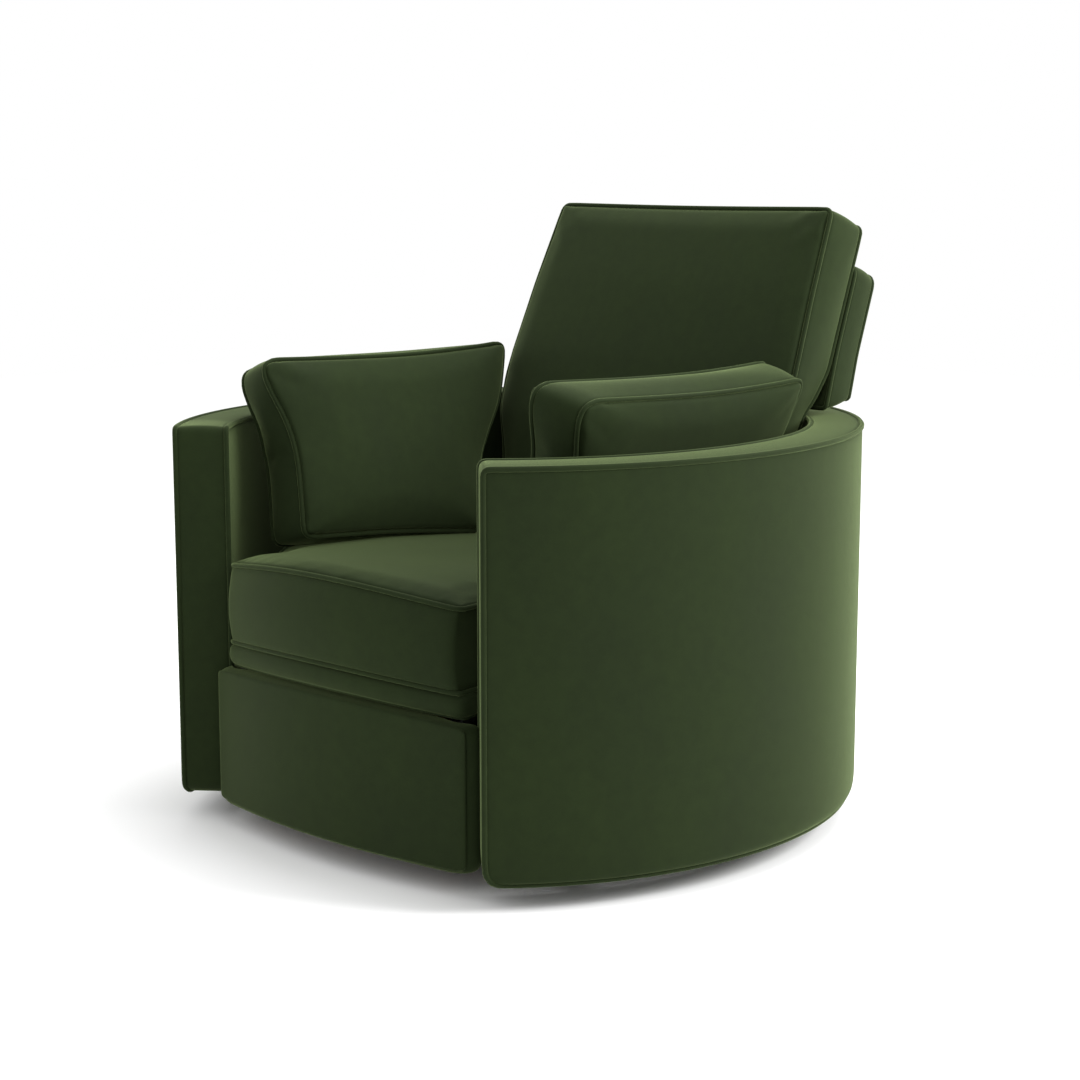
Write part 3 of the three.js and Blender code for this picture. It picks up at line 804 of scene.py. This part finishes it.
def make_back_lower_cover():
    """A thin narrow cover over the lower part of the board, hidden inside the barrel."""
    def place(point, depth):
        return back_place(point.x, PANEL_FRONT + depth, point.y)

    sides = rectangle(-0.2, -0.13, 0.2, 0.225, (0.01,) * 4)
    low = Boxed("back_lower_cover", "back", sides, 0.023, place, side_bulge(0.001), cell=0.03,
                strip_rows=4)
    finish_form(low)


# ---------------------------------------------------------------- footrest
def make_footrest():
    end = FOOT_END
    thick = FOOT_BOARD - FOOT_FRONT

    def front_y(x):
        return FOOT_FRONT + (end.y - FOOT_FRONT) * (x / end.x) ** 2

    def thickness(x):
        wrap = unit((abs(x) - FOOT_WRAP_FROM) / FOOT_WRAP_RUN)
        return FOOT_BOARD - front_y(x) + FOOT_WRAP * wrap * wrap * (3 - 2 * wrap)

    def place(point, depth):
        x, z = point
        droop = (0.003 + 0.015 * (x / end.x) ** 2) * (z - FOOT_LOW) / (FOOT_TOP - FOOT_LOW)
        return Vector((x, front_y(x) + depth * thickness(x) / thick, z - droop))

    def round_over(share, normal, _point):
        bulge = 0.004 * (1 - max(0.0, normal.y)) * math.sin(math.pi * share)
        return bulge - (0.005 + 0.008 * abs(normal.x)) * (1 - share) ** 3

    sides = rectangle(-end.x, FOOT_LOW, end.x, FOOT_TOP, (0.020, 0.020, 0.014, 0.014))
    form = Boxed("footrest_cover", "footrest", sides, thick, place, round_over, cell=0.014,
                 strip_rows=10, panel_a=crown(0.006, power=3.0), sink=0.004, near=0.006)
    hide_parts("footrest_pad")
    finish_form(form)


# ---------------------------------------------------------------- pillows
def surface_below(piece):
    """The height of a finished piece's upper surface at a place in plan."""
    tree = BVHTree.FromObject(piece, bpy.context.evaluated_depsgraph_get())

    def height(x, y):
        hit = tree.ray_cast(Vector((x, y, 2)), Vector((0, 0, -1)))[0]
        return hit.z if hit else 0.0
    return height


def make_pillow(side, sign, shift, seat_height):
    """A loose arm pillow; its outline is given in (y, height along the lean)."""
    body = f"{side}_pillow"
    front_foot, foot_rear = (-0.350 + shift, -0.008), (0.040, -0.044)
    front_top, rear_top = (-0.376 + shift, 0.287), (0.192 + 0.5 * shift, PILLOW_TOP)
    sides = rounded_sides([
        smooth_curve([front_foot, (-0.15, -0.022), foot_rear]),
        smooth_curve([foot_rear, (0.070, 0.070), (0.100, 0.120), (0.150, 0.186), rear_top]),
        smooth_curve([rear_top, (0.10 + shift, 0.279), (-0.03 + shift, 0.276),
                      (-0.18 + shift, 0.279), front_top]),
        smooth_curve([front_top, (-0.356 + shift, 0.229), (-0.338 + shift, 0.180),
                      (-0.331 + shift, 0.130), (-0.337 + shift, 0.070), front_foot]),
    ], (0.024, 0.020, 0.030, 0.050))
    sine, cosine = math.sin(PILLOW_LEAN), math.cos(PILLOW_LEAN)
    outer_front = table((0.0, 0.0), (0.15, 0.002), (PILLOW_TOP, 0.022))
    outer_rear = table((0.06, 0.0), (0.12, 0.2 * shift), (0.186, 0.9 * shift),
                       (PILLOW_TOP, -0.3 * shift))

    def place(point, depth):
        share = depth / PILLOW_THICK
        front, rear = unit(-point.x / 0.30), unit(point.x / 0.12)
        along = point.x + share * (front * outer_front(point.y) + rear * outer_rear(point.y))
        out = PILLOW_FOOT.x + depth * cosine + point.y * sine
        return Vector((sign * out, along, PILLOW_FOOT.y - depth * sine + point.y * cosine))

    def rest_on_seat(point):
        passing = max(seat_height(point.x, point.y + travel)
                      for travel in (0, SEAT_TRAVEL / 2, SEAT_TRAVEL))
        point.z = max(point.z, passing + PILLOW_CLEARANCE)
        return point

    form = Boxed(f"{side}_pillow_cover", body, sides, PILLOW_THICK, place, side_bulge(0.003),
                 cell=0.011, strip_rows=8, panel_a=crown(0.008, edge=0.008),
                 panel_b=crown(0.002, edge=0.006))
    inflate(form, PRESSURE, 0.012, rest_on_seat)
    for vertex in form.piece.data.vertices:
        vertex.co = rest_on_seat(vertex.co)
    pipe_seams(form, (f"{side}_pillow_piping_inner", f"{side}_pillow_piping_outer"), body)
    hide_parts(f"pillow_{side}")
    finish_form(form)


# ---------------------------------------------------------------- CAD nodes that stay
def dress_frame():
    looks = {
        "black_steel": make_metal("black_powder_coat", (0.012, 0.012, 0.013), 0.42, 0.0, 3.5),
        "zinc_steel": make_metal("zinc_plate", (0.42, 0.43, 0.44), 0.30, 1.0, 1.35),
        "timber": make_timber(),
        "rubber": make_rubber(),
        "velvet": velvet,
    }
    for entry in frame["record"]["subparts"]:
        node = frame["nodes"][entry["node"]]
        node.data.materials.clear()
        node.data.materials.append(looks[entry["material_slot"]])


# ---------------------------------------------------------------- stage, light and camera
def make_stage():
    bpy.ops.mesh.primitive_plane_add(size=14)
    floor = bpy.context.object
    floor.name = "studio_floor"
    material, _nodes, _links, shader = node_tree("pale_floor")
    shader.inputs["Base Color"].default_value = (0.97, 0.97, 0.97, 1)
    shader.inputs["Roughness"].default_value = 0.95
    shader.inputs["Specular IOR Level"].default_value = 0.0
    floor.data.materials.append(material)
    world = bpy.data.worlds.new("studio")
    world.use_nodes = True
    world.node_tree.nodes["Background"].inputs["Color"].default_value = (1, 1, 1, 1)
    world.node_tree.nodes["Background"].inputs["Strength"].default_value = 1.0
    scene.world = world


def area_light(name, place, target, size, power):
    light = bpy.data.lights.new(name, "AREA")
    light.energy = power
    light.size = size
    lamp = bpy.data.objects.new(name, light)
    scene.collection.objects.link(lamp)
    lamp.location = place
    lamp.rotation_euler = (Vector(target) - Vector(place)).to_track_quat("-Z", "Y").to_euler()


def make_lights():
    middle = (0, 0, 0.5)
    area_light("key_right_rear", (3.2, 1.9, 2.4), middle, 1.8, 190)
    area_light("top", (0.2, 0.8, 3.4), middle, 2.4, 80)
    area_light("fill_left", (-3.0, -1.6, 1.6), middle, 1.6, 14)


def make_camera():
    data = bpy.data.cameras.new("photo_view")
    data.lens = 74.49
    data.sensor_width = 36
    camera = bpy.data.objects.new("photo_view", data)
    scene.collection.objects.link(camera)
    camera.location = (2.494, -2.632, 1.050)
    camera.rotation_euler = (math.radians(80.399), 0, math.radians(43.716))
    scene.camera = camera


# ---------------------------------------------------------------- the whole scene
make_camera()
make_barrel()
seat = make_seat()
make_back()
make_footrest()
seat_height = surface_below(seat)
make_pillow("left", -1, 0.0, seat_height)
make_pillow("right", 1, RIGHT_PILLOW_SHIFT, seat_height)
dress_frame()
make_stage()
make_lights()
scene.view_settings.view_transform = "Standard"
